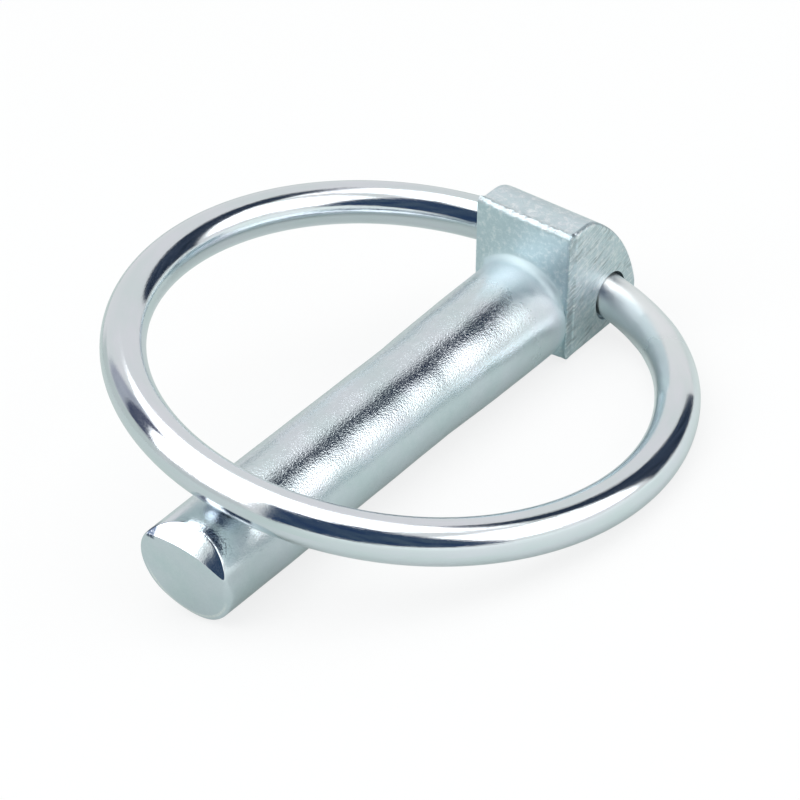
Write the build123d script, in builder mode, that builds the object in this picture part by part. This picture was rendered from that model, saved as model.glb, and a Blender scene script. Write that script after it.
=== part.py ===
from build123d import *
import math
import os

# A lynch pin: a forged pin with a square-shouldered head, locked by a spring-wire ring.
# The ring's two ends sit in one hole, drilled on a slant through the head, and the closed
# ring lies across the shank near its tip.
#
# Working frame, in millimetres: the origin is on the shank's axis at the shoulder, where
# the head's flat front face meets the shank. X runs to the tip, Z to the head's top, and
# Y to the head's right side. At the end both pieces are moved together: rolled about the
# shank, as the loose pin comes to rest on a table, and slid along it, so that the origin is
# in the middle of the shank's true cylinder.

# Shank
shank_radius = 4.75
shank_length = 47.6
swell_radius = 5.05             # at the shoulder, where the forging is fullest
swell_length = 16.0
lead_length = 9.0               # the last stretch, drawn slightly smaller
lead_radius = 4.70
end_slant = 7.4                 # degrees: the end face leans, longest at its upper edge
end_face_radius = 3.6           # up to the chamfer, at that upper edge
press_angle = 54.0              # degrees between the pressed chamfer and the shank's axis
press_drop = 0.55               # the chamfer's axis below the shank's, so it is wide on top only
shoulder_fillet = 0.6
runout_length = 4.0             # the shank's belly fades into the head's underside
runout_radius = 3.5

# Head
head_width = 10.35
head_top = 9.75                 # above the shank's axis
head_under = 3.75               # below the shank's axis
head_flat = 3.4                 # flat stretch of the top, behind the front face
head_back = 11.25               # where the bulged back ends, behind the front face
head_back_height = -1.0         # and its height there
back_bulge_radius = 17.2
brow_radius = 2.5
heel_radius = 2.6
head_edge_radius = 0.4

# Slanted hole: its centre on each side face, behind the front face and above the axis
right_mouth_back = 6.9
right_mouth_height = -0.2
left_mouth_back = 4.75
left_mouth_height = 4.15
hole_clearance = 0.3
mouth_chamfer = 0.2

# Ring
wire_diameter = 4.0
ring_mean_radius = 24.0
ring_reach = 42.6               # from the shoulder to the middle of the wire over the shank
ring_side_shift = 0.57          # of the ring's centre, to the right
ring_rise = 3.53                # degrees, upwards to the tip
ring_twist = 4.88               # degrees, lower on the right
closed_gap = 0.05               # between the closed ring and the shank
right_bend_start = 46.0         # degrees of ring left out beside the head, on each side
left_bend_start = 22.0
bend_depth = 0.5                # each bend begins this far inside the hole
stub_length = 4.8               # wire inside the hole, from each mouth
wire_end_chamfer = 0.3

# Rest
rest_roll = 14.1                # degrees about the shank, until the ring's right side touches

wire_radius = wire_diameter / 2
hole_radius = wire_radius + hole_clearance
half_width = head_width / 2
right_mouth = Vector(-right_mouth_back, half_width, right_mouth_height)
left_mouth = Vector(-left_mouth_back, -half_width, left_mouth_height)
hole_direction = (right_mouth - left_mouth).normalized()
hole_middle = (right_mouth + left_mouth) * 0.5


# The head: one side profile, carried across the head's width.
with BuildPart() as head:
    with BuildSketch(Plane.XZ):
        with BuildLine():
            Line((0, -head_under), (0, head_top))
            Line((0, head_top), (-head_flat, head_top))
            back = RadiusArc((-head_flat, head_top), (-head_back, head_back_height), -back_bulge_radius)
            falling = back % 1
            drop = (head_back_height + head_under) / -falling.Y
            heel_x = -head_back + falling.X * drop
            Line((-head_back, head_back_height), (heel_x, -head_under))
            Line((heel_x, -head_under), (0, -head_under))
        make_face()
    extrude(amount=half_width, both=True)
    across = head.edges().filter_by(Axis.Y)
    fillet(across.sort_by_distance((-head_flat, 0, head_top))[0], brow_radius)
    across = head.edges().filter_by(Axis.Y)
    fillet(across.sort_by_distance((heel_x, 0, -head_under))[0], heel_radius)
    fillet(head.edges(), head_edge_radius)

# The root of the shank: a concave collar where it meets the shoulder, no wider than the head.
with BuildPart() as root:
    with BuildSketch(Plane.XZ):
        with BuildLine():
            edge = swell_radius + shoulder_fillet
            Line((-runout_length, 0), (-runout_length, runout_radius))
            Line((-runout_length, runout_radius), (0, swell_radius))
            Line((0, swell_radius), (0, edge))
            RadiusArc((0, edge), (shoulder_fillet, swell_radius), shoulder_fillet)
            Line((shoulder_fillet, swell_radius), (shoulder_fillet, 0))
            Line((shoulder_fillet, 0), (-runout_length, 0))
        make_face()
    revolve(axis=Axis.X)

# The forged pin: head, root and shank in one solid, with the hole through the head.
with BuildPart() as pin:
    add(root.part)
    with BuildSketch(Plane.YZ.offset(-runout_length)):
        flat_height = head_top + head_under - 2 * head_edge_radius
        with Locations((0, (head_top - head_under) / 2)):
            Rectangle(head_width - 2 * head_edge_radius, flat_height)
    extrude(amount=runout_length + shoulder_fillet, mode=Mode.INTERSECT)
    add(head.part)
    with BuildSketch(Plane.XZ):
        with BuildLine():
            lead_start = shank_length - lead_length
            Line((-runout_length, 0), (-runout_length, runout_radius))
            Line((-runout_length, runout_radius), (0, swell_radius))
            Line((0, swell_radius), (shoulder_fillet, swell_radius))
            TangentArc((swell_length, shank_radius), (shoulder_fillet, swell_radius), tangent=(-1, 0))
            Line((swell_length, shank_radius), (lead_start, shank_radius))
            Line((lead_start, shank_radius), (shank_length, lead_radius))
            Line((shank_length, lead_radius), (shank_length, 0))
            Line((shank_length, 0), (-runout_length, 0))
        make_face()
    revolve(axis=Axis.X)
    with BuildSketch(Plane(origin=hole_middle, z_dir=hole_direction)):
        Circle(hole_radius)
    extrude(amount=head_width, both=True, mode=Mode.SUBTRACT)
    mouths = pin.faces().filter_by(GeomType.CYLINDER).sort_by_distance(hole_middle)[0].edges()
    chamfer(mouths.filter_by(GeomType.LINE, reverse=True), mouth_chamfer)
    # The sheared end, then the chamfer pressed round its upper side.
    end_normal = Vector(1, 0, -math.tan(math.radians(end_slant)))
    with BuildSketch(Plane(origin=(shank_length, 0, end_face_radius), z_dir=end_normal)):
        Circle(shank_length)
    extrude(amount=shank_length, mode=Mode.SUBTRACT)
    with BuildSketch(Plane.XZ):
        with BuildLine():
            press_depth = (lead_radius - end_face_radius) / math.tan(math.radians(press_angle))
            press_top = 2 * lead_radius - end_face_radius
            press_start = (shank_length - 2 * press_depth, press_top)
            press_end = (shank_length + press_depth, 2 * end_face_radius - lead_radius)
            Line(press_start, press_end)
            Line(press_end, (shank_length + press_depth, press_top))
            Line((shank_length + press_depth, press_top), press_start)
        make_face()
    revolve(axis=Axis((0, 0, -press_drop), (1, 0, 0)), mode=Mode.SUBTRACT)


# The ring's plane: it rises to the tip and hangs lower on the right. Its height is set by
# the wire lying on the shank, with only the closed gap between them.
rise = math.tan(math.radians(ring_rise))
fall = math.tan(math.radians(ring_twist))
ring_normal = Vector(-rise, fall, 1).normalized()
ring_forward = Vector(1, 0, rise).normalized()
ring_side = ring_normal.cross(ring_forward)
crossing_height = (shank_radius + closed_gap + wire_radius) / math.cos(math.radians(ring_twist))
ring_centre_x = ring_reach - ring_mean_radius * ring_forward.X
ring_centre_height = crossing_height - rise * (ring_reach - ring_centre_x) - fall * ring_side_shift
ring_centre = Vector(ring_centre_x, ring_side_shift, ring_centre_height)


def ring_point(angle):
    """The wire's centre at an angle round the ring, counted from its far point by the tip."""
    outwards = ring_forward * math.cos(angle) + ring_side * math.sin(angle)
    return ring_centre + outwards * ring_mean_radius


def ring_heading(angle):
    """The wire's direction there, towards growing angles."""
    return ring_side * math.cos(angle) - ring_forward * math.sin(angle)


def bend_joint(start, heading, end, end_heading):
    """Where two arcs meet that lead from one point and direction smoothly into another."""
    span = end - start
    total = heading + end_heading
    square = 2 * (1 - heading.dot(end_heading))
    linear = 2 * span.dot(total)
    root_term = math.sqrt(linear * linear + 4 * square * span.dot(span))
    reach = (root_term - linear) / (2 * square)
    return (start + end + (heading - end_heading) * reach) * 0.5


# The spring ring: straight stubs in the hole, a bend on each side, and a round bow between.
right_angle = math.pi - math.radians(right_bend_start)
left_angle = math.pi + math.radians(left_bend_start) - 2 * math.pi
with BuildPart() as ring:
    with BuildLine() as wire_path:
        right_inner = right_mouth - hole_direction * stub_length
        right_outer = right_mouth - hole_direction * bend_depth
        left_inner = left_mouth + hole_direction * stub_length
        left_outer = left_mouth + hole_direction * bend_depth
        right_leave = ring_point(right_angle)
        left_leave = ring_point(left_angle)
        right_joint = bend_joint(right_outer, hole_direction, right_leave, ring_heading(right_angle) * -1)
        left_joint = bend_joint(left_leave, ring_heading(left_angle) * -1, left_outer, hole_direction)
        Line(right_inner, right_outer)
        right_bend = TangentArc(right_outer, right_joint, tangent=hole_direction)
        TangentArc(right_joint, right_leave, tangent=right_bend % 1)
        ThreePointArc(right_leave, ring_point((right_angle + left_angle) / 2), left_leave)
        left_bend = TangentArc(left_leave, left_joint, tangent=ring_heading(left_angle) * -1)
        TangentArc(left_joint, left_outer, tangent=left_bend % 1)
        Line(left_outer, left_inner)
    with BuildSketch(Plane(origin=right_inner, z_dir=hole_direction)):
        Circle(wire_radius)
    sweep()
    ends = ring.faces().filter_by(GeomType.PLANE)
    chamfer(ends.edges(), wire_end_chamfer)

os.makedirs("parts", exist_ok=True)
shank_middle = Location((-(swell_length + shank_length - lead_length) / 2, 0, 0))
pin.part = pin.part.rotate(Axis.X, -rest_roll).moved(shank_middle)
ring.part = ring.part.rotate(Axis.X, -rest_roll).moved(shank_middle)
pin.part.label = "pin"
ring.part.label = "ring"
export_step(pin.part, "parts/pin.step")
export_step(ring.part, "parts/ring.step")
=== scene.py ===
# %% [markdown]
# # A lynch pin, piece by piece
#
# The real thing is a forged steel pin with a square-shouldered head, and a ring of spring
# wire whose two ends sit in one slanted hole through the head. Both are bright zinc plated.
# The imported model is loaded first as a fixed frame. Every surface below is worked out in
# the same place, so nothing has to be fitted by eye.

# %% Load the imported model
import math

import bpy
import numpy as np
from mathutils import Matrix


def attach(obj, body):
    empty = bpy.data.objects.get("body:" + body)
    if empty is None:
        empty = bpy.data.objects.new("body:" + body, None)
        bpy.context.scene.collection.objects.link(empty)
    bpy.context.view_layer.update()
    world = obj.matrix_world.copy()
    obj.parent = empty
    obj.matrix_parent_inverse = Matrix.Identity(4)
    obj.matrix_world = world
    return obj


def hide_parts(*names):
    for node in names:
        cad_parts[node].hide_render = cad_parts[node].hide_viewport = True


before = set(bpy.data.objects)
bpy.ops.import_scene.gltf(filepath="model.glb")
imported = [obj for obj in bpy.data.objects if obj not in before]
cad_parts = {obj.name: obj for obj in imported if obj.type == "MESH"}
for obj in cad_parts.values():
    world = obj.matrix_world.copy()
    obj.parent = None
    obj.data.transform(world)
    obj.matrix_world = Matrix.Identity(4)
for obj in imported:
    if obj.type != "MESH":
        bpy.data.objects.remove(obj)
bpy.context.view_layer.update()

# %% [markdown]
# ## Working on the pin before it is laid down
#
# It is easier to think of the pin with its head upright: the origin on the shank's axis at
# the shoulder, X to the tip, Z to the head's top, Y to its right side, in millimetres. The
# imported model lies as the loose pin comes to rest, rolled a little about the shank, with
# the origin in the middle of the shank. One helper takes any array of upright points there.

# %% From the upright pin to the model's own place
MM = 0.001
rest_roll = math.radians(14.1)
shank_middle = 27.3


def laid_down(points):
    """Points turned about X by the rest roll, slid so the shank's middle is at zero, in metres."""
    points = np.asarray(points, float)
    x, y, z = points[..., 0], points[..., 1], points[..., 2]
    turned_y = y * math.cos(rest_roll) + z * math.sin(rest_roll)
    turned_z = z * math.cos(rest_roll) - y * math.sin(rest_roll)
    return np.stack([x - shank_middle, turned_y, turned_z], axis=-1) * MM


# %% [markdown]
# ## A skin over a grid of points
#
# Both pieces are surfaces of two parameters: one runs along the piece and one round it.
# The points come as one array of rows and columns. The helper joins neighbours with
# four-sided faces, closes the columns into a loop, and shuts each end with a fan.

# %% Make a closed mesh from rows of points


def skin(name, rows, row_lengths=None, column_lengths=None):
    """Face k of row i joins points (i, k), (i, k+1), (i+1, k+1) and (i+1, k).

    Each end is a fan of triangles about the mean of its row. Where lengths are given, the
    mesh also keeps them as a map called surface: along the piece and round it.
    """
    count, around = rows.shape[:2]
    ends = np.stack([rows[0].mean(0), rows[-1].mean(0)])
    places = np.concatenate([rows.reshape(-1, 3), ends])
    i, k = np.meshgrid(np.arange(count - 1), np.arange(around), indexing="ij")
    after = (k + 1) % around
    this_row, next_row = i * around, (i + 1) * around
    quads = np.stack([this_row + k, this_row + after, next_row + after, next_row + k], -1)
    quads = quads.reshape(-1, 4)
    ring = np.arange(around)
    turn = np.roll(ring, -1)
    first = np.stack([turn, ring, np.full(around, count * around)], -1)
    base = (count - 1) * around
    last = np.stack([base + ring, base + turn, np.full(around, count * around + 1)], -1)
    mesh = bpy.data.meshes.new(name)
    mesh.vertices.add(len(places))
    mesh.vertices.foreach_set("co", places.ravel())
    corners = np.concatenate([quads.ravel(), first.ravel(), last.ravel()])
    starts = np.concatenate([np.arange(len(quads)) * 4, len(quads) * 4 + np.arange(2 * around) * 3])
    mesh.loops.add(len(corners))
    mesh.loops.foreach_set("vertex_index", corners)
    mesh.polygons.add(len(starts))
    mesh.polygons.foreach_set("loop_start", starts)
    if row_lengths is not None:
        along = np.concatenate([row_lengths, [row_lengths[0], row_lengths[-1]]])
        on_row = corners < count * around
        row = np.where(on_row, corners // around, corners - count * around + count)
        column = np.where(on_row, corners % around, 0)
        # The loop's last faces come back to column nought, which there counts as a full turn.
        closes, never = k == around - 1, ring < 0
        wraps = np.concatenate([
            np.stack([closes & False, closes, closes, closes & False], -1).ravel(),
            np.stack([ring == around - 1, never, never], -1).ravel(),
            np.stack([never, ring == around - 1, never], -1).ravel(),
        ])
        u = along[row]
        v = np.where(wraps, column_lengths[-1], column_lengths[column])
        layer = mesh.uv_layers.new(name="surface")
        layer.data.foreach_set("uv", np.stack([u, v], -1).ravel())
    mesh.update(calc_edges=True)
    mesh.validate()
    piece = bpy.data.objects.new(name, mesh)
    bpy.context.scene.collection.objects.link(piece)
    print(name, "vertices", len(mesh.vertices), "faces", len(mesh.polygons))
    return piece


def outward(piece):
    """Signed volume: the sum over faces of centre dot normal times area, over three.

    A negative one means that the faces look inwards, so they are turned round.
    """
    mesh = piece.data
    count = len(mesh.polygons)
    centres, normals, areas = np.zeros(count * 3), np.zeros(count * 3), np.zeros(count)
    mesh.polygons.foreach_get("center", centres)
    mesh.polygons.foreach_get("normal", normals)
    mesh.polygons.foreach_get("area", areas)
    volume = (centres.reshape(-1, 3) * normals.reshape(-1, 3)).sum(1) @ areas / 3
    if volume < 0:
        mesh.flip_normals()
    print(piece.name, "volume in cubic millimetres", round(abs(volume), 1))


def lay_down(piece):
    """Every vertex turned and slid to where the loose pin lies, in metres."""
    places = np.zeros(len(piece.data.vertices) * 3)
    piece.data.vertices.foreach_get("co", places)
    piece.data.vertices.foreach_set("co", laid_down(places.reshape(-1, 3)).ravel())
    piece.data.update()


# %% [markdown]
# ## The wire's path
#
# The ring is one length of 4 mm spring wire. Each end is straight inside the slanted hole,
# then the wire bends out to join a round bow that lies on the shank near its tip. The left
# bend is two arcs that meet smoothly. The right one opens gradually from the hole's mouth,
# so it is a curve with a handle at each end, as in a drawing program.

# %% Where the hole and the round bow are
half_width = 10.35 / 2
right_mouth = np.array([-6.9, half_width, -0.2])
left_mouth = np.array([-4.75, -half_width, 4.15])
hole_direction = (right_mouth - left_mouth) / np.linalg.norm(right_mouth - left_mouth)
wire_radius = 2.0
bow_radius = 24.0
bow_reach, bow_shift = 42.6, 0.57  # from the shoulder to the wire over the shank, to the right
twist = math.radians(4.88)
rise, fall = math.tan(math.radians(3.53)), math.tan(twist)
bow_normal = np.array([-rise, fall, 1]) / math.sqrt(rise**2 + fall**2 + 1)
bow_forward = np.array([1, 0, rise]) / math.hypot(1, rise)
bow_side = np.cross(bow_normal, bow_forward)
shank_radius, closed_gap = 4.75, 0.05
crossing = (shank_radius + closed_gap + wire_radius) / math.cos(twist)
bow_x = bow_reach - bow_radius * bow_forward[0]
bow_z = crossing - rise * (bow_reach - bow_x) - fall * bow_shift
bow_centre = np.array([bow_x, bow_shift, bow_z])
print("bow centre", bow_centre.round(3))


def bow_point(angle):
    """The bow's centre plus the radius times (forward times cosine plus side times sine)."""
    outwards = np.multiply.outer(np.cos(angle), bow_forward)
    outwards = outwards + np.multiply.outer(np.sin(angle), bow_side)
    return bow_centre + bow_radius * outwards


def bow_heading(angle):
    """The circle's direction there: side times the cosine less forward times the sine."""
    return bow_side * math.cos(angle) - bow_forward * math.sin(angle)


# %% Two arcs that lead from one direction smoothly into another


def arc(start, heading, end, count):
    """A circle from start along heading to end.

    Start, plus heading times r sin(a), plus the inward normal times r (1 - cos a).
    """
    chord = end - start
    length = np.linalg.norm(chord)
    half = math.acos(np.clip(chord @ heading / length, -1, 1))
    radius = length / (2 * math.sin(half))
    inward = chord / length - heading * math.cos(half)
    inward /= np.linalg.norm(inward)
    a = np.linspace(0, 2 * half, count)[1:, None]
    points = start + radius * (np.sin(a) * heading + (1 - np.cos(a)) * inward)
    return points, heading * math.cos(2 * half) + inward * math.sin(2 * half)


def bend(start, heading, end, end_heading, count):
    """Two arcs that meet halfway between the ends of two equally long tangents.

    The length is the root of a quadratic: the arcs then share one direction where they meet.
    """
    span, total = end - start, heading + end_heading
    square, linear = 2 * (1 - heading @ end_heading), 2 * span @ total
    reach = (math.sqrt(linear**2 + 4 * square * span @ span) - linear) / (2 * square)
    joint = (start + end + (heading - end_heading) * reach) / 2
    first, middle_heading = arc(start, heading, joint, count)
    second, _ = arc(joint, middle_heading, end, count)
    return np.concatenate([first, second])


def sweep_out(start, heading, end, end_heading, first_handle, second_handle, count):
    """A cubic curve with a handle at each end, which sets its direction there.

    (1-t) cubed times the start, 3t(1-t) squared times the first handle's tip, 3t squared(1-t)
    times the second's, and t cubed times the end.
    """
    t = np.linspace(0, 1, count)[1:, None]
    first, second = start + heading * first_handle, end - end_heading * second_handle
    near_start = (1 - t) ** 3 * start + 3 * t * (1 - t) ** 2 * first
    return near_start + 3 * t**2 * (1 - t) * second + t**3 * end


# %% The whole path, evenly spaced
stub_length = 4.8
right_bend_depth, left_bend_depth = 1.0, 0.5
right_angle = math.pi - math.radians(61.07)
left_angle = -math.pi + math.radians(22.0)
right_inner = right_mouth - hole_direction * stub_length
right_outer = right_mouth - hole_direction * right_bend_depth
left_inner = left_mouth + hole_direction * stub_length
left_outer = left_mouth + hole_direction * left_bend_depth
right_handles = 7.11, 5.49
right_leave, left_leave = bow_point(right_angle), bow_point(left_angle)
right_heading, left_heading = -bow_heading(right_angle), -bow_heading(left_angle)
path = np.concatenate([
    np.linspace(right_inner, right_outer, 40),
    sweep_out(right_outer, hole_direction, right_leave, right_heading, *right_handles, 240),
    bow_point(np.linspace(right_angle, left_angle, 900))[1:],
    bend(left_leave, left_heading, left_outer, hole_direction, 120),
    np.linspace(left_outer, left_inner, 40)[1:],
])
steps = np.concatenate([[0], np.cumsum(np.linalg.norm(np.diff(path, axis=0), axis=1))])
even = np.linspace(0, steps[-1], 1100)
path = np.stack([np.interp(even, steps, path[:, axis]) for axis in range(3)], -1)

# The right bend touches the table: there the path is lifted so that the wire ends on it.
table_height = -5.04
skin_radius = wire_radius - 0.008  # a hair less, so that the faceted wire stays in its box
table_up = np.array([0, -math.sin(rest_roll), math.cos(rest_roll)])
lowest = table_height + 2.004
path += np.clip(lowest - path @ table_up, 0, None)[:, None] * table_up
print("wire length", round(steps[-1], 1), "mm, lowest centre", (path @ table_up).min().round(3))

# %% [markdown]
# ## The wire's skin
#
# A circle is carried along the path. At each point the circle stands square to the path,
# on two axes: one in the bow's plane and one close to its normal. The wire's ends have a
# small chamfer. The mesh also keeps how far along and how far round each point lies, so
# the drawing lines in the finish can follow the wire.

# %% Build the ring
tangent = np.gradient(path, axis=0)
tangent /= np.linalg.norm(tangent, axis=1)[:, None]
across = np.cross(bow_normal, tangent)
across /= np.linalg.norm(across, axis=1)[:, None]
upright = np.cross(tangent, across)
around = 56
turn = np.linspace(0, 2 * math.pi, around, endpoint=False)
end_chamfer = 0.3
from_end = np.minimum(even, even[-1] - even)
radius = skin_radius - np.clip(end_chamfer - from_end, 0, end_chamfer)
turn_cos, turn_sin = np.cos(turn)[None, :, None], np.sin(turn)[None, :, None]
spoke = turn_cos * across[:, None] + turn_sin * upright[:, None]
rows = path[:, None] + radius[:, None, None] * spoke
column_lengths = np.append(turn, 2 * math.pi) * wire_radius
spring_ring = skin("spring_ring", rows, even, column_lengths)
outward(spring_ring)

# %% [markdown]
# ## The shank
#
# The forging is a round bar, a little fuller towards the shoulder. Its end was sheared at a
# slight slant and then pressed, which left a chamfer that is wide on top and runs out below.
# So the profile is not the same all round: each angle gets its own chamfer start and end.

# %% How the shank's radius changes along it
shank_length, swell_radius, lead_radius = 47.6, 5.05, 4.70
swell_length, lead_start = 16.0, 38.6
swell_start = 0.6
runout_length, runout_radius = 4.0, 3.5


def shank_profile(x):
    """Full at the shoulder, easing as a flat arc to the shank's radius, then a straight lead.

    The arc falls by the distance squared over twice its radius. Inside the head the profile
    runs down to a smaller radius.
    """
    arc_radius = (swell_length - swell_start) ** 2 / (2 * (swell_radius - shank_radius))
    along = np.clip(x - swell_start, 0, swell_length - swell_start)
    swell = swell_radius - along**2 / (2 * arc_radius)
    lead_share = np.clip((x - lead_start) / (shank_length - lead_start), 0, 1)
    runout = np.clip(-x / runout_length, 0, 1) * (swell_radius - runout_radius)
    return swell - lead_share * (shank_radius - lead_radius) - runout


# %% The sheared end and its pressed chamfer
angle = np.linspace(0, 2 * math.pi, 240, endpoint=False)
round_y, round_z = np.cos(angle), np.sin(angle)
end_slant_z, end_slant_y = math.tan(math.radians(7.4)), -0.01
end_middle = shank_length - end_slant_z * 3.6
press_y, press_z, press_radius = -1.1, -6.0, 9.0
press_slope = math.tan(math.radians(36))
press_start = end_middle + end_slant_z * (press_z + press_radius)


def end_plane(radius_there):
    """The sheared face: its middle, plus the slant times the height, less a little to the right."""
    return end_middle + radius_there * (end_slant_z * round_z + end_slant_y * round_y)


def pressed(radius_there):
    """The pressed cone: it falls back by the slope times the distance beyond a wide circle.

    The circle's centre lies low and a little to the left, and its top is on the end face.
    """
    from_axis = np.hypot(radius_there * round_y - press_y, radius_there * round_z - press_z)
    return press_start + (press_radius - from_axis) * press_slope


def hump(middle_degrees, half_degrees):
    """A weight round the shank: a raised cosine, one at the middle, nought past the half width."""
    away = np.abs((np.degrees(angle) - middle_degrees + 180) % 360 - 180)
    return np.where(away < half_degrees, 0.5 + 0.5 * np.cos(math.pi * away / half_degrees), 0)


worn_in = 0.10 + 0.42 * hump(-5, 38) + 0.22 * hump(255, 50)
worn_back = 0.08 + 0.22 * hump(-5, 38) + 0.26 * hump(262, 45)
low, high = np.full_like(angle, 2.0), lead_radius - worn_in
for _ in range(40):
    middle = (low + high) / 2
    inside = pressed(middle) > end_plane(middle)
    low, high = np.where(inside, middle, low), np.where(inside, high, middle)
face_radius = low
rim_x = np.minimum(pressed(lead_radius), end_plane(lead_radius) - worn_back)
rim = np.stack([rim_x, np.full_like(angle, lead_radius)], -1)
face_edge = np.stack([end_plane(face_radius), face_radius], -1)
print("end face radius from", face_radius.min().round(2), "to", face_radius.max().round(2))

# %% [markdown]
# The corners of a pressed end are never sharp. Between two straight stretches of a profile
# the helper puts a short curve: it leaves the first a little before the corner and joins
# the second a little after it.

# %% Profiles with rounded corners, one for each angle


def corner(before, at, after, reach, count):
    """A parabola between two points on the sides, each at most halfway along its side.

    (1-t) squared times the first, 2t(1-t) times the corner, and t squared times the last.
    """
    into, out = at - before, after - at
    length_in = np.linalg.norm(into, axis=-1, keepdims=True)
    length_out = np.linalg.norm(out, axis=-1, keepdims=True)
    first = at - into / np.maximum(length_in, 1e-9) * np.minimum(reach, length_in / 2)
    last = at + out / np.maximum(length_out, 1e-9) * np.minimum(reach, length_out / 2)
    t = np.linspace(0, 1, count)[:, None, None]
    return (1 - t) ** 2 * first + 2 * t * (1 - t) * at + t**2 * last


middle_of_face = np.stack([np.full_like(angle, end_middle), np.zeros_like(angle)], -1)
before_rim = rim - np.array([1.0, 0.0])
softness = (0.10 + 0.35 * hump(-5, 38))[None, :, None]
rim_rows = corner(before_rim, rim, face_edge, softness, 8)
edge_rows = corner(rim, face_edge, middle_of_face, 0.06 + softness * 0.8, 8)
body_end = 45.0
root_x = np.concatenate([np.linspace(-runout_length, -0.4, 10), np.linspace(-0.2, 1.4, 26)])
body_x = np.concatenate([root_x, np.linspace(1.6, body_end, 170)])
body_radius = shank_profile(body_x)[:, None] + 0 * angle
body_rows = np.stack(np.broadcast_arrays(body_x[:, None], body_radius), -1)
last_radius = np.full_like(angle, shank_profile(body_end))
last_body = np.stack([np.full_like(angle, body_end), last_radius], -1)
six_steps = np.linspace(0, 1, 8)[1:-1, None, None]
to_middle = np.linspace(0, 0.97, 16)[1:, None, None]
rim_lead = last_body + six_steps * (rim_rows[0] - last_body)
chamfer_rows = rim_rows[-1] + six_steps * (edge_rows[0] - rim_rows[-1])
face_rows = edge_rows[-1] + to_middle * (middle_of_face - edge_rows[-1])
profile = np.concatenate([body_rows, rim_lead, rim_rows, chamfer_rows, edge_rows, face_rows])

# %% [markdown]
# Where the shank meets the shoulder the forging die left a hollow fillet. It can only be as
# wide as the head's face leaves room for, so it fades away at the sides and underneath.
# The pressing also rolled the shank off a little beside the chamfer, and the surface is
# never quite even, so a slow wave of two hundredths of a millimetre runs over it.

# %% Flare the root of the shank and build it
head_top, head_under = 9.75, 3.75
fillet_radius = 0.95
room_side = (half_width - 0.35) / np.maximum(np.abs(round_y), 1e-6)
room_up = np.where(round_z > 0, head_top, head_under) / np.maximum(np.abs(round_z), 1e-6)
room = np.clip((np.minimum(room_side, room_up) - swell_radius) / 1.6, 0, 1)
fillet = fillet_radius * room**2 * (3 - 2 * room)
shank_x, radius = profile[..., 0], profile[..., 1].copy()
depth = np.clip(fillet[None] - np.maximum(shank_x, 0), 0, None)
flare = fillet[None] - np.sqrt(np.clip(fillet[None] ** 2 - depth**2, 0, None))
radius += np.where(shank_x < 2, flare, 0)
roll_off = 0.07 * hump(30, 45) * np.clip((shank_x - 45.4) / 2.0, 0, 1.2) ** 2
radius -= roll_off * np.clip(radius / lead_radius * 3 - 2, 0, 1)
forged = 0.02 * np.sin(shank_x * 0.9 + 1.3 * np.sin(angle * 2)) * np.clip(shank_x / 6, 0, 1)
radius += forged * np.cos(angle * 3 + 0.7) * np.clip((44 - shank_x) / 4, 0, 1)
radius = np.minimum(radius, -table_height / np.maximum(-np.sin(angle - rest_roll), 0.1))
shank_rows = np.stack([shank_x, radius * round_y, radius * round_z], -1)
shank = skin("shank", shank_rows)
outward(shank)

# %% [markdown]
# ## The head
#
# The head is one side profile carried across its width: a flat front, a flat stretch of top,
# a bulged back and a round heel. At each side the profile draws in through a quarter circle,
# which gives the rounded edges, and then closes over the flat side.

# %% The side profile, in X and Z
head_flat, head_back, head_back_height, bulge_radius = 3.4, 11.25, -1.0, 17.2
top_corner, back_end = np.array([-head_flat, head_top]), np.array([-head_back, head_back_height])
chord = back_end - top_corner
half_chord = np.linalg.norm(chord) / 2
bulge_normal = np.array([-chord[1], chord[0]]) / (2 * half_chord)
centre_away = math.sqrt(bulge_radius**2 - half_chord**2)
bulge_centre = (top_corner + back_end) / 2 + bulge_normal * centre_away
from_angle = math.atan2(*(top_corner - bulge_centre)[::-1])
to_angle = math.atan2(*(back_end - bulge_centre)[::-1])
to_angle += 2 * math.pi if to_angle < from_angle else 0
sweep = np.linspace(from_angle, to_angle, 300)
back = bulge_centre + bulge_radius * np.stack([np.cos(sweep), np.sin(sweep)], -1)
back_heading = (back[-1] - back[-2]) / np.linalg.norm(back[-1] - back[-2])
heel = back_end + back_heading * (head_under + head_back_height) / -back_heading[1]
print("heel at", heel.round(3))


def along_line(line, at_start, at_end, count):
    """Points at equal steps along a line, less a given length at each end."""
    lengths = np.concatenate([[0], np.cumsum(np.linalg.norm(np.diff(line, axis=0), axis=1))])
    inner = np.linspace(at_start, lengths[-1] - at_end, count)
    return np.stack([np.interp(inner, lengths, line[:, axis]) for axis in range(2)], -1)


def cut_back(line, at_start, at_end):
    """The same line with a given length taken off each end."""
    return along_line(line, at_start, at_end, 400)


def evenly(line, count):
    """Points at equal steps along a line, without its last one."""
    return along_line(line, 0, 0, count + 1)[:-1]


def round_corner(first, at, last, count):
    """A circle's arc between two points at equal distances from a corner.

    As the parabola on the shank, but the corner counts by the cosine of half the turn, and
    all is divided by the sum of the weights.
    """
    into, out = at - first, last - at
    cosine = into @ out / np.linalg.norm(into) / np.linalg.norm(out)
    half_turn = math.acos(np.clip(cosine, -1, 1)) / 2
    t = np.linspace(0, 1, count + 1)[:-1, None]
    pull = 2 * math.cos(half_turn) * t * (1 - t)
    return ((1 - t) ** 2 * first + pull * at + t**2 * last) / ((1 - t) ** 2 + pull + t**2)


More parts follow.
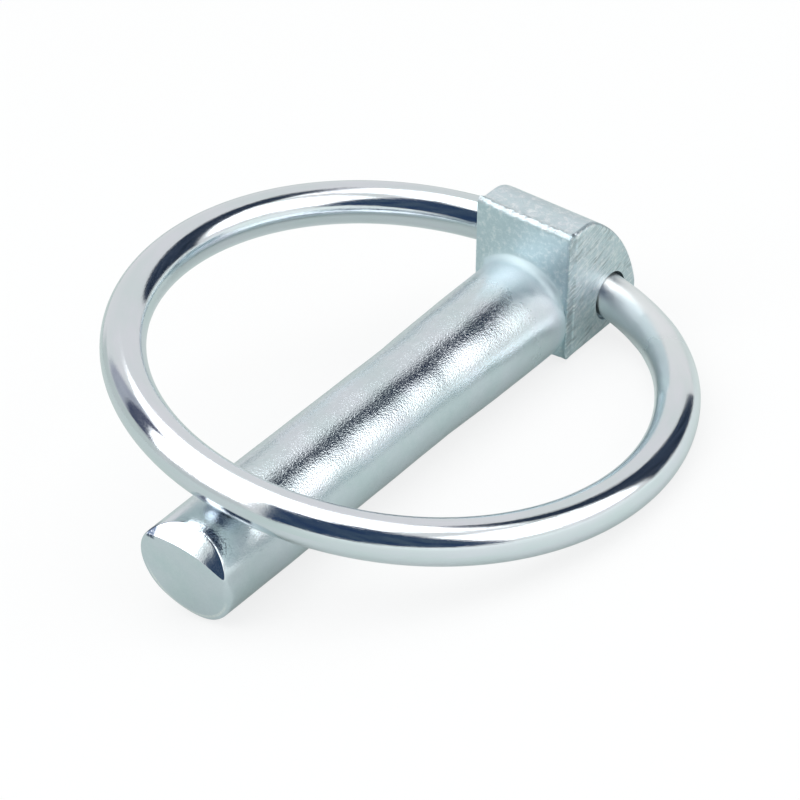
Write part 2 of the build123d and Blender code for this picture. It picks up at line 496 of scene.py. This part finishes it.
front_bottom, front_top = np.array([0.0, -head_under]), np.array([0.0, head_top])
small, brow, heel_cut = 0.5, 0.9, 3.29
front_line = cut_back(np.stack([front_bottom, front_top]), small, small)
top_line = cut_back(np.stack([front_top, top_corner]), small, brow)
back_line = cut_back(np.concatenate([back, heel[None]]), brow, heel_cut)
under_line = cut_back(np.stack([heel, front_bottom]), heel_cut, small)
outline = np.concatenate([
    evenly(front_line, 70), round_corner(front_line[-1], front_top, top_line[0], 8),
    evenly(top_line, 24), round_corner(top_line[-1], top_corner, back_line[0], 12),
    evenly(back_line, 80), round_corner(back_line[-1], heel, under_line[0], 28),
    evenly(under_line, 40), round_corner(under_line[-1], front_bottom, front_line[0], 8),
])
edge = np.roll(outline, -1, 0) - np.roll(outline, 1, 0)
inward = np.stack([-edge[:, 1], edge[:, 0]], -1)
inward /= np.linalg.norm(inward, axis=1)[:, None]
centre = np.array([-4.2, 2.6])
inward *= np.sign(((centre - outline) * inward).sum(1))[:, None]
print("points round the head's profile", len(outline))

# %% Carry the profile across, with rounded edges and flat sides
along_front = np.exp(-(outline[:, 0] / 0.5) ** 2)
left_edge = 0.4 - 0.28 * along_front
right_edge = 0.4 - 0.26 * along_front
quarter = np.linspace(0, math.pi / 2, 8)
flat_side = np.concatenate([np.linspace(1, 0.7, 13)[1:], np.linspace(0.7, 0.02, 12)[1:]])
straight = np.linspace(-1, 1, 110)[1:-1]
drawn = 1 - np.cos(quarter)
spread = np.sin(quarter)
closing, crossed = 0 * flat_side[:, None] + 0 * left_edge, 0 * straight[:, None] + 0 * left_edge
inset = np.concatenate([
    left_edge + closing, left_edge * drawn[::-1, None],
    crossed,
    right_edge * drawn[:, None], right_edge + closing,
])
shrink = np.concatenate([flat_side[::-1], np.ones(2 * len(quarter) + len(straight)), flat_side])
left_y, right_y = -half_width + left_edge, half_width - right_edge
side_y = np.concatenate([
    closing - half_width, left_y - left_edge * spread[::-1, None],
    left_y + (right_y - left_y) * (straight[:, None] + 1) / 2,
    right_y + right_edge * spread[:, None], closing + half_width,
])
drawn_in = outline[None] + inward[None] * inset[..., None]
drawn_in = centre + (drawn_in - centre) * shrink[:, None, None]
head_rows = np.stack([drawn_in[..., 0], side_y, drawn_in[..., 1]], -1)

# %% [markdown]
# The forging's flash was trimmed off along the front edge of the top, which left that edge
# raised and ragged, most at the left corner. On the right the trimming left a narrow land
# along the front edge, a tenth of a millimetre lower than the side. A few sine waves of
# different lengths make a ragged height that is the same every time the script runs.

# %% The ragged front edge and the trimmed land, then the head's mesh
x, y, z = (head_rows[..., axis].copy() for axis in range(3))


def ragged(a, b):
    """The sum of five sine waves of different lengths, each with its share of one.

    The sine of a times the first number, plus b times the second, plus the third.
    """
    waves = ((2.1, 0.7, 0.4), (4.7, -2.3, 1.1), (8.3, 3.1, 2.0),
             (13.9, -6.7, 0.2), (21.3, 9.1, 2.9))
    shares = (0.3, 0.25, 0.2, 0.15, 0.1)
    return sum(share * np.sin(p * a + q * b + r) for share, (p, q, r) in zip(shares, waves))


left_corner = np.exp(-((y + half_width) / 1.6) ** 2)
ridge = np.exp(-((x + 0.3) / 0.42) ** 2) * np.clip((z - 9.0) / 0.6, 0, 1)
head_rows[..., 2] += ridge * (0.07 + 0.07 * ragged(y, z * 3 + x * 5) + 0.22 * left_corner)
uneven = 0.03 * ragged(y * 1.3 + 4, z * 4) - 0.02
head_rows[..., 0] += ridge * np.clip((x + 0.25) / 0.25, 0, 1) * uneven
land_width = 1.05
land = np.clip((x + land_width) / 0.12, 0, 1) * np.clip((y - half_width + 0.9) / 0.7, 0, 1)
land *= np.clip((z + 3.3) / 0.5, 0, 1)
head_rows[..., 1] -= land * (0.10 + 0.035 * ragged(z * 1.1, x * 4))
forging = skin("pin_forging", head_rows)
outward(forging)

# %% [markdown]
# ## One forging, with a hole drilled through
#
# Head and shank overlap inside the metal. Blender's Boolean modifier joins them into one
# closed surface, and then takes away a drill: a long round bar that widens by a hair where
# it leaves each side face, as a deburred hole does.

# %% Join, drill and shade


def apply_boolean(piece, other, operation):
    """Keeps the union or difference of two closed meshes in the first, and removes the second."""
    step = piece.modifiers.new(operation, "BOOLEAN")
    step.operation = operation
    step.solver = "EXACT"
    step.object = other
    bpy.context.view_layer.update()
    finished = piece.evaluated_get(bpy.context.evaluated_depsgraph_get())
    result = bpy.data.meshes.new_from_object(finished)
    piece.modifiers.clear()
    piece.data = result
    result.name = piece.name
    bpy.data.objects.remove(other)


hole_radius = 2.3
hole_middle = (right_mouth + left_mouth) / 2
reach_along = np.linalg.norm(right_mouth - left_mouth) / 2
drill_end, mouth = 9.0, np.array([-0.2, 1.0]) + reach_along
drill_along = np.concatenate([[-drill_end], -mouth[::-1], mouth, [drill_end]])
drill_radius = hole_radius + np.array([0.04, 0.04, 0, 0, 0.04, 0.04])
drill_side = np.cross([0.0, 0.0, 1.0], hole_direction)
drill_side /= np.linalg.norm(drill_side)
drill_up = np.cross(hole_direction, drill_side)
drill_turn = np.linspace(0, 2 * math.pi, 96, endpoint=False)
drill_cos, drill_sin = np.cos(drill_turn)[None, :, None], np.sin(drill_turn)[None, :, None]
drill_spoke = drill_cos * drill_side + drill_sin * drill_up
drill_rows = hole_middle + drill_along[:, None, None] * hole_direction
drill_rows = drill_rows + drill_radius[:, None, None] * drill_spoke
drill = skin("drill", drill_rows)
outward(drill)
apply_boolean(forging, shank, "UNION")
outward(forging)
apply_boolean(forging, drill, "DIFFERENCE")
outward(forging)
print("pin faces", len(forging.data.polygons))
for piece, degrees in ((forging, 28), (spring_ring, 40)):
    lay_down(piece)
    piece.data.shade_smooth()
    piece.data.set_sharp_from_angle(angle=math.radians(degrees))

# %% [markdown]
# ## Bright zinc
#
# Zinc plate is a pale metal with a faint blue-green cast. On the tumbled forging it is
# satin: a fine grain breaks the reflections into sparkles. On the drawn wire it is close to
# a mirror, with hair-fine lines along the wire. Both are metal shaders whose colour,
# roughness and bump come from noise at the scale of the real marks.

# %% Helpers for shader nodes


def new_metal(name):
    """An empty node tree with one metal shader wired to its output."""
    material = bpy.data.materials.new(name)
    material.use_nodes = True
    tree = material.node_tree
    tree.nodes.clear()
    output = tree.nodes.new("ShaderNodeOutputMaterial")
    shader = tree.nodes.new("ShaderNodeBsdfPrincipled")
    shader.inputs["Metallic"].default_value = 1.0
    tree.links.new(shader.outputs[0], output.inputs[0])
    return material, tree, shader


def noise(tree, source, scale, detail, roughness, stretch=(1, 1, 1)):
    """A cloud of values between nought and one; scale counts its lumps per unit of the source."""
    place = tree.nodes.new("ShaderNodeMapping")
    place.inputs["Scale"].default_value = stretch
    tree.links.new(source, place.inputs["Vector"])
    cloud = tree.nodes.new("ShaderNodeTexNoise")
    cloud.inputs["Scale"].default_value = scale
    cloud.inputs["Detail"].default_value = detail
    cloud.inputs["Roughness"].default_value = roughness
    tree.links.new(place.outputs[0], cloud.inputs["Vector"])
    return cloud.outputs["Fac"]


def between(tree, value, low, high, out_low, out_high):
    """Maps the stretch from low to high onto out_low to out_high, and holds it there beyond."""
    step = tree.nodes.new("ShaderNodeMapRange")
    ends = ("From Min", low), ("From Max", high), ("To Min", out_low), ("To Max", out_high)
    for name, number in ends:
        step.inputs[name].default_value = number
    tree.links.new(value, step.inputs["Value"])
    return step.outputs["Result"]


def mix_colour(tree, factor, first, second):
    """First where the factor is nought, second where it is one."""
    step = tree.nodes.new("ShaderNodeMix")
    step.data_type = "RGBA"
    for slot, value in ((0, factor), (6, first), (7, second)):
        if isinstance(value, tuple):
            step.inputs[slot].default_value = value
        else:
            tree.links.new(value, step.inputs[slot])
    return step.outputs[2]


def calculate(tree, operation, first, second):
    """One sum, product, greatest value or square root; the root leaves the second value out."""
    step = tree.nodes.new("ShaderNodeMath")
    step.operation = operation
    for slot, value in enumerate((first, second)):
        if isinstance(value, (int, float)):
            step.inputs[slot].default_value = value
        else:
            tree.links.new(value, step.inputs[slot])
    return step.outputs[0]


def bump(tree, height, distance, strength, before=None):
    """Turns heights into leaning normals; the distance is the height of one unit, in metres."""
    step = tree.nodes.new("ShaderNodeBump")
    step.inputs["Distance"].default_value = distance
    step.inputs["Strength"].default_value = strength
    tree.links.new(height, step.inputs["Height"])
    if before is not None:
        tree.links.new(before, step.inputs["Normal"])
    return step.outputs[0]


# %% Where things are on the upright pin, for the finish


def turned(tree, source, location=(0, 0, 0), rotation=(0, 0, 0), scale=(1, 1, 1)):
    """Scales, then turns, then slides a coordinate."""
    place = tree.nodes.new("ShaderNodeMapping")
    place.inputs["Location"].default_value = location
    place.inputs["Rotation"].default_value = rotation
    place.inputs["Scale"].default_value = scale
    tree.links.new(source, place.inputs["Vector"])
    return place.outputs[0]


def apart(tree, source):
    """The three numbers of a coordinate."""
    split = tree.nodes.new("ShaderNodeSeparateXYZ")
    tree.links.new(source, split.inputs[0])
    return split.outputs


def product(tree, *values):
    """All the values multiplied."""
    result = values[0]
    for value in values[1:]:
        result = calculate(tree, "MULTIPLY", result, value)
    return result


def band(tree, value, rising, falling):
    """Nought, up to one across the first pair of values, and back to nought across the second."""
    up, down = between(tree, value, *rising, 0, 1), between(tree, value, *falling, 1, 0)
    return product(tree, up, down)


# %% Where things are on the forging
satin_zinc, tree, shader = new_metal("satin_zinc")
coordinate = tree.nodes.new("ShaderNodeTexCoord").outputs["Object"]
to_mm = (1 / MM, 1 / MM, 1 / MM)
upright_mm = turned(tree, coordinate, (shank_middle, 0, 0), (rest_roll, 0, 0), to_mm)
at_x, at_y, at_z = apart(tree, upright_mm)
on_head = between(tree, at_x, 0.04, 0.10, 1, 0)
near_head = between(tree, at_x, 2.5, 8.5, 1, 0)
in_fillet = band(tree, at_x, (-0.1, 0.1), (1.0, 2.4))
on_front = band(tree, at_x, (-0.12, -0.02), (0.3, 1.2))
on_right = product(tree, on_head, between(tree, at_y, half_width - 0.25, half_width - 0.12, 0, 1))
# painted shade: the rounded rim round the head's right side is darkened in colour
right_rim_shade = product(tree, on_head, band(tree, at_y, (4.72, 4.84), (5.04, 5.12)))
top_edge = product(tree, on_head, between(tree, at_x, -0.7, -0.5, 0, 1),
                   between(tree, at_z, head_top - 0.45, head_top - 0.3, 0, 1))
squares = calculate(tree, "ADD", product(tree, at_y, at_y), product(tree, at_z, at_z))
from_axis = calculate(tree, "SQRT", squares, 0)
lower_rim = product(tree, between(tree, at_x, 45.9, 46.1, 0, 1),
                    between(tree, at_z, -2.2, -0.8, 1, 0),
                    band(tree, from_axis, (4.12, 4.22), (4.34, 4.46)))
# painted reflection: dark specks on the shank's top beside the tip's chamfer, standing in for the
# dark room mirrored there
chamfer_side_reflection = product(tree, band(tree, at_x, (44.6, 45.7), (46.2, 46.5)),
                         band(tree, at_y, (0.3, 1.4), (3.0, 3.9)),
                         between(tree, at_z, 2.3, 3.0, 0, 1))
# painted reflection: a dark patch at the left end of the tip's chamfer, where a dark facet is
# mirrored
chamfer_end_reflection = product(tree, between(tree, at_x, 46.2, 46.4, 0, 1),
                      between(tree, at_z, 2.45, 2.65, 0, 1),
                      band(tree, at_y, (-3.75, -3.55), (-3.0, -2.75)))

# %% [markdown]
# The zinc drifts between a greenish and a violet cast, with paler patches and grey specks.
# Handling leaves more on some places: dirt in the burr of the top edge, scuffs on the tip's lower
# rim, a coarse mottle on the head, and on its right side the dark and bright hairlines of a
# grinding belt.
# The dark band in the corner to the right side is painted shade, and the dark specks beside the
# chamfer and the dark patch at its left end are painted reflections.

# %% The colour of satin zinc
cast = noise(tree, upright_mm, 0.26, 3.0, 0.5)
mottle = noise(tree, upright_mm, 1.5, 4.0, 0.6)
specks = noise(tree, upright_mm, 6.5, 2.0, 0.6)
spangle = noise(tree, upright_mm, 1.7, 4.0, 0.75)
level_belt = turned(tree, upright_mm, rotation=(0, math.radians(-16), 0))
along_belt = turned(tree, level_belt, scale=(0.14, 0.3, 1))
hairlines = noise(tree, along_belt, 3.2, 3.0, 0.7)
worn_zone = between(tree, noise(tree, upright_mm, 0.35, 2.0, 0.5), 0.42, 0.58, 0.25, 1)
green_zinc, violet_zinc = (0.665, 0.755, 0.785, 1), (0.73, 0.775, 0.83, 1)
tint = mix_colour(tree, between(tree, cast, 0.35, 0.65, 0, 1), green_zinc, violet_zinc)
layers = (
    ((0.82, 0.87, 0.89, 1), (between(tree, mottle, 0.4, 0.75, 0, 0.3),)),
    ((0.56, 0.66, 0.69, 1), (between(tree, specks, 0.35, 0.65, 0, 0.22),)),
    ((0.38, 0.40, 0.42, 1), (top_edge, between(tree, mottle, 0.42, 0.58, 0.25, 0.85))),
    # painted shade on the rim of the right side
    ((0.22, 0.28, 0.33, 1), (right_rim_shade, 0.7)),
    # painted reflection of the dark room beside the chamfer
    ((0.14, 0.18, 0.24, 1), (chamfer_side_reflection, between(tree, specks, 0.50, 0.56, 0, 1))),
    # painted reflection at the chamfer's left end
    ((0.10, 0.13, 0.19, 1), (chamfer_end_reflection, between(tree, specks, 0.3, 0.42, 0.3, 1))),
    ((0.64, 0.785, 0.82, 1), (on_front, 0.6)),
    ((0.93, 0.94, 0.93, 1), (lower_rim, between(tree, specks, 0.4, 0.55, 0.3, 1))),
    ((0.52, 0.66, 0.70, 1), (on_head, between(tree, spangle, 0.42, 0.56, 0, 0.55))),
    ((0.88, 0.93, 0.94, 1), (on_head, between(tree, spangle, 0.36, 0.46, 0.6, 0))),
    ((0.40, 0.46, 0.48, 1), (on_right, worn_zone, between(tree, hairlines, 0.5, 0.62, 0, 0.85))),
    ((0.90, 0.92, 0.91, 1), (on_right, between(tree, hairlines, 0.34, 0.46, 0.7, 0))),
)
for colour, masks in layers:
    tint = mix_colour(tree, product(tree, *masks), tint, colour)
tree.links.new(tint, shader.inputs["Base Color"])
print("satin zinc has", len(layers), "layers of colour")

# %% [markdown]
# The grain is a field of tiny dents. Each dent leans its own way, so where the room's dark
# and bright parts meet, some dents show one and some the other: the sparkling band. The
# head and the fillet at its foot are duller than the shank.

# %% Roughness and grain
dull = between(tree, mottle, 0.3, 0.7, 0.09, 0.15)
for mask, more in ((near_head, 0.22), (in_fillet, 0.24), (on_right, 0.10)):
    dull = calculate(tree, "ADD", dull, product(tree, mask, more))
tree.links.new(dull, shader.inputs["Roughness"])
root_to_shank = between(tree, at_x, 2.0, 6.0, 0.5, 1)
on_shank = product(tree, root_to_shank, between(tree, at_x, 44.5, 46.0, 1, 0.12))
grain = product(tree, noise(tree, upright_mm, 5.0, 2.0, 0.6), on_shank)
fine_grain = product(tree, noise(tree, upright_mm, 8.0, 1.0, 0.6), on_shank)
relief = bump(tree, noise(tree, upright_mm, 0.8, 2.0, 0.5), 0.00012, 0.12)
relief = bump(tree, grain, 0.00007, 0.14, relief)
relief = bump(tree, fine_grain, 0.00006, 0.42, relief)
relief = bump(tree, product(tree, spangle, on_head), 0.00010, 0.35, relief)
relief = bump(tree, product(tree, hairlines, on_right), 0.00012, 0.6, relief)
tree.links.new(relief, shader.inputs["Normal"])

# %% [markdown]
# The wire was drawn through a die, which left lines as fine as hairs along it. Near the bend
# beside the head the zinc is paler and duller.

# %% The bright zinc of the wire
bright_zinc, tree, shader = new_metal("bright_zinc")
surface = tree.nodes.new("ShaderNodeUVMap")
surface.uv_map = "surface"
surface = surface.outputs["UV"]
lines = noise(tree, surface, 9.0, 3.0, 0.6, stretch=(0.02, 1, 1))
patches = noise(tree, surface, 0.5, 3.0, 0.5, stretch=(0.3, 1, 1))
dots = noise(tree, surface, 6.0, 3.0, 0.7, stretch=(0.4, 1, 1))
in_bend = between(tree, apart(tree, surface)[0], 8.0, 32.0, 1, 0)
green_wire, violet_wire = (0.72, 0.79, 0.81, 1), (0.775, 0.80, 0.85, 1)
bent_wire = (0.93, 0.96, 0.96, 1)
tint = mix_colour(tree, between(tree, patches, 0.35, 0.65, 0, 1), green_wire, violet_wire)
tint = mix_colour(tree, product(tree, in_bend, 0.7), tint, bent_wire)
tree.links.new(tint, shader.inputs["Base Color"])
dull = between(tree, patches, 0.3, 0.7, 0.07, 0.13)
dull = calculate(tree, "ADD", dull, product(tree, in_bend, 0.28))
tree.links.new(dull, shader.inputs["Roughness"])
relief = bump(tree, lines, 0.00001, 0.6)
relief = bump(tree, dots, 0.00001, 0.35, relief)
tree.links.new(relief, shader.inputs["Normal"])

forging.data.materials.clear()
forging.data.materials.append(satin_zinc)
spring_ring.data.materials.append(bright_zinc)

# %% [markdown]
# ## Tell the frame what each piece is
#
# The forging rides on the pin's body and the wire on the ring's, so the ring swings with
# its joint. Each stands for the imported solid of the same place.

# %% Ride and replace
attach(forging, "pin")
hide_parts("pin")
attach(spring_ring, "ring")
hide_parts("ring")

# %% [markdown]
# ## The table and the studio
#
# The pin lies on a white table under a soft sky. Polished metal shows the whole room: white
# overhead and on two sides, and dark between them, where the room is not lit. Three dark
# boards stand for those gaps, two thin ones for the frame of the left window, and the pale
# ones for the haze beside it and the far edge of the table. The camera does not see them,
# and they cast no shadow. The metal sees the table greyer than the camera does, and
# greyest on the pin's left.

# %% The table
floor_height, span = -5.05 * MM, 1500 * MM
table_corners = ((-span, -span), (span, -span), (span, span), (-span, span))
table_mesh = bpy.data.meshes.new("table")
table_mesh.from_pydata([(*corner, floor_height) for corner in table_corners], [], [(0, 1, 2, 3)])
table = bpy.data.objects.new("table", table_mesh)
bpy.context.scene.collection.objects.link(table)
paper = bpy.data.materials.new("white_paper")
paper.use_nodes = True
tree = paper.node_tree
tree.nodes.clear()
output = tree.nodes.new("ShaderNodeOutputMaterial")
matte = tree.nodes.new("ShaderNodeBsdfDiffuse")
glow = tree.nodes.new("ShaderNodeEmission")
glow.inputs["Color"].default_value = (1, 1, 1, 1)
seen = tree.nodes.new("ShaderNodeLightPath")
table_pale = (0.80, 0.82, 0.82, 1)
left_mirrored, right_mirrored = (0.55, 0.61, 0.595, 1), (0.83, 0.88, 0.865, 1)
table_side = apart(tree, tree.nodes.new("ShaderNodeTexCoord").outputs["Object"])[1]
to_right = between(tree, table_side, 0.0, 0.06, 0, 1)
mirrored = mix_colour(tree, to_right, left_mirrored, right_mirrored)
reflected = seen.outputs["Is Glossy Ray"]
tree.links.new(mix_colour(tree, reflected, table_pale, mirrored), matte.inputs["Color"])
steady = tree.nodes.new("ShaderNodeEmission")
tree.links.new(mirrored, steady.inputs["Color"])
base = tree.nodes.new("ShaderNodeMixShader")
tree.links.new(calculate(tree, "MULTIPLY", reflected, 0.3), base.inputs[0])
tree.links.new(matte.outputs[0], base.inputs[1])
tree.links.new(steady.outputs[0], base.inputs[2])
blend = tree.nodes.new("ShaderNodeMixShader")
tree.links.new(calculate(tree, "MULTIPLY", seen.outputs["Is Camera Ray"], 0.8), blend.inputs[0])
tree.links.new(base.outputs[0], blend.inputs[1])
tree.links.new(glow.outputs[0], blend.inputs[2])
tree.links.new(blend.outputs[0], output.inputs[0])
table_mesh.materials.append(paper)

# %% The sky: white where it is seen or reflected, and a plain level where it lights
world = bpy.data.worlds.new("studio")
bpy.context.scene.world = world
world.use_nodes = True
tree = world.node_tree
tree.nodes.clear()
output = tree.nodes.new("ShaderNodeOutputWorld")
seen = tree.nodes.new("ShaderNodeLightPath")
white = tree.nodes.new("ShaderNodeBackground")
white.inputs["Strength"].default_value = 1.0
soft = tree.nodes.new("ShaderNodeBackground")
soft.inputs["Strength"].default_value = 0.75
either = calculate(tree, "MAXIMUM", seen.outputs["Is Camera Ray"], seen.outputs["Is Glossy Ray"])
either = calculate(tree, "MAXIMUM", either, seen.outputs["Is Transmission Ray"])
blend = tree.nodes.new("ShaderNodeMixShader")
tree.links.new(either, blend.inputs[0])
tree.links.new(soft.outputs[0], blend.inputs[1])
tree.links.new(white.outputs[0], blend.inputs[2])
tree.links.new(blend.outputs[0], output.inputs[0])

# %% [markdown]
# Each board is a patch of a big sphere round the pin, given by its compass direction and
# height in degrees. Its edges fade out, because the real gaps are soft, and streaks run up
# and down it like the folds of a curtain.

# %% The boards
board_distance, board_steps = 0.9, 24


def patch_of_sphere(name, bottom, top, west, east):
    """The distance times (cos height cos compass, cos height sin compass, sin height).

    The sides lean: each goes from its first compass direction below to its second above. The
    mesh also keeps the shares across and up, from nought to one, as a map called board.
    """
    across = np.linspace(0, 1, board_steps + 1)[None]
    up = np.linspace(0, 1, board_steps + 1)[:, None]
    height = np.radians(bottom + (top - bottom) * up)
    west_side, east_side = (side[0] + (side[1] - side[0]) * up for side in (west, east))
    compass = np.radians(west_side * (1 - across) + east_side * across)
    level, upward = np.cos(height), np.sin(height) + 0 * compass
    points = np.stack([level * np.cos(compass), level * np.sin(compass), upward], -1)
    mesh = bpy.data.meshes.new(name)
    i, k = np.meshgrid(np.arange(board_steps), np.arange(board_steps), indexing="ij")
    first = i * (board_steps + 1) + k
    above = first + board_steps + 1
    quads = np.stack([first, first + 1, above + 1, above], -1).reshape(-1, 4)
    places = (board_distance * points).reshape(-1, 3)
    mesh.from_pydata(places.tolist(), [], quads.tolist())
    u, v = k[..., None] + np.array([0, 1, 1, 0]), i[..., None] + np.array([0, 0, 1, 1])
    shares = np.stack([u, v], -1) / board_steps
    mesh.uv_layers.new(name="board").data.foreach_set("uv", shares.ravel())
    return mesh


def board(name, bottom, top, west, east, shade, streak, fade):
    """A glowing patch in two shades; the fade is the share of its width, then height, it takes."""
    mesh = patch_of_sphere(name, bottom, top, west, east)
    panel = bpy.data.objects.new(name, mesh)
    bpy.context.scene.collection.objects.link(panel)
    panel.visible_camera = panel.visible_shadow = panel.visible_diffuse = False
    cloth = bpy.data.materials.new(name)
    cloth.use_nodes = True
    tree = cloth.node_tree
    tree.nodes.clear()
    output = tree.nodes.new("ShaderNodeOutputMaterial")
    dark = tree.nodes.new("ShaderNodeEmission")
    clear = tree.nodes.new("ShaderNodeBsdfTransparent")
    place = tree.nodes.new("ShaderNodeUVMap")
    place.uv_map = "board"
    folds = noise(tree, place.outputs[0], 5.0, 3.0, 0.6, stretch=(1.6, 0.35, 1))
    cloth_colour = mix_colour(tree, between(tree, folds, 0.42, 0.62, 0, 1), shade, streak)
    tree.links.new(cloth_colour, dark.inputs["Color"])
    share_across, share_up, _ = apart(tree, place.outputs[0])
    cover = product(tree, band(tree, share_across, (0, fade[0]), (1 - fade[0], 1)),
                    band(tree, share_up, (0, fade[1]), (1 - fade[1], 1)))
    blend = tree.nodes.new("ShaderNodeMixShader")
    tree.links.new(cover, blend.inputs[0])
    tree.links.new(clear.outputs[0], blend.inputs[1])
    tree.links.new(dark.outputs[0], blend.inputs[2])
    tree.links.new(blend.outputs[0], output.inputs[0])
    mesh.materials.append(cloth)


navy = (0.018, 0.042, 0.105, 1), (0.07, 0.105, 0.15, 1)
coal = (0.015, 0.025, 0.045, 1), (0.05, 0.07, 0.11, 1)
plum = (0.05, 0.06, 0.12, 1), (0.14, 0.15, 0.20, 1)
haze = (0.36, 0.37, 0.44, 1), (0.50, 0.52, 0.58, 1)
high_frame = (0.13, 0.13, 0.14, 1), (0.30, 0.29, 0.28, 1)
low_frame = (0.20, 0.20, 0.20, 1), (0.34, 0.33, 0.31, 1)
pale_table = (0.57, 0.62, 0.61, 1), (0.61, 0.66, 0.65, 1)
board("board_front", -2, 66, (-9, 12), (84, 66), *navy, fade=(0.05, 0.07))
board("board_right", -2, 64, (136, 137), (174, 172), *coal, fade=(0.05, 0.08))
board("strip_high", 62.5, 66, (-52, -52), (-2, -2), *high_frame, fade=(0.08, 0.2))
board("strip_low", 15.5, 18, (-50, -50), (-8, -8), *low_frame, fade=(0.08, 0.2))
board("board_left", 18, 66, (-70, -88), (-48, -64), *plum, fade=(0.12, 0.07))
board("board_left_haze", 18, 66, (-92, -104), (-66, -84), *haze, fade=(0.2, 0.1))
board("board_table_far", -2, 19, (-104, -104), (-46, -46), *pale_table, fade=(0.1, 0.06))
board("board_table_near", -2, 13, (-48, -48), (-6, -12), *pale_table, fade=(0.06, 0.1))

# %% [markdown]
# Three soft lamps stand where the white parts of the room are: overhead, to the left and to
# the right. They are faint, because the sky already gives most of the light.

# %% The soft lamps


def lamp(name, compass, height, distance, width, tall, watts):
    """A soft box in a compass direction and height in degrees, which faces the pin."""
    light = bpy.data.lights.new(name, "AREA")
    light.shape = "RECTANGLE"
    light.size, light.size_y = width, tall
    light.energy = watts
    stand = bpy.data.objects.new(name, light)
    bpy.context.scene.collection.objects.link(stand)
    a, h = math.radians(compass), math.radians(height)
    level = distance * math.cos(h)
    stand.location = (level * math.cos(a), level * math.sin(a), distance * math.sin(h))
    stand.rotation_euler = (math.pi / 2 - h, 0, a + math.pi / 2)


lamp("soft_box_top", 0, 89, 0.8, 0.9, 0.9, 3.4)
lamp("soft_box_left", -29, 40, 0.8, 0.6, 0.6, 1.8)
lamp("soft_box_right", 107, 28, 0.8, 0.78, 0.56, 1.7)

# %% [markdown]
# ## The camera
#
# The place, direction and lens come from a perspective fit of the outline: the camera looks
# at the tip from the right, from about 27 cm away, and leans over by about 11 degrees.

# %% Set the camera
view = bpy.data.cameras.new("camera")
view.lens = 144.44
view.sensor_width = 36.0
view.clip_start = 0.01
camera = bpy.data.objects.new("camera", view)
bpy.context.scene.collection.objects.link(camera)
camera.location = (0.168556, 0.171092, 0.133358)
camera.rotation_euler = tuple(math.radians(turn) for turn in (61.1246, 10.6971, 128.0446))
bpy.context.scene.camera = camera
bpy.context.scene.view_settings.view_transform = "Standard"
print("camera distance in millimetres", round(camera.location.length / MM))
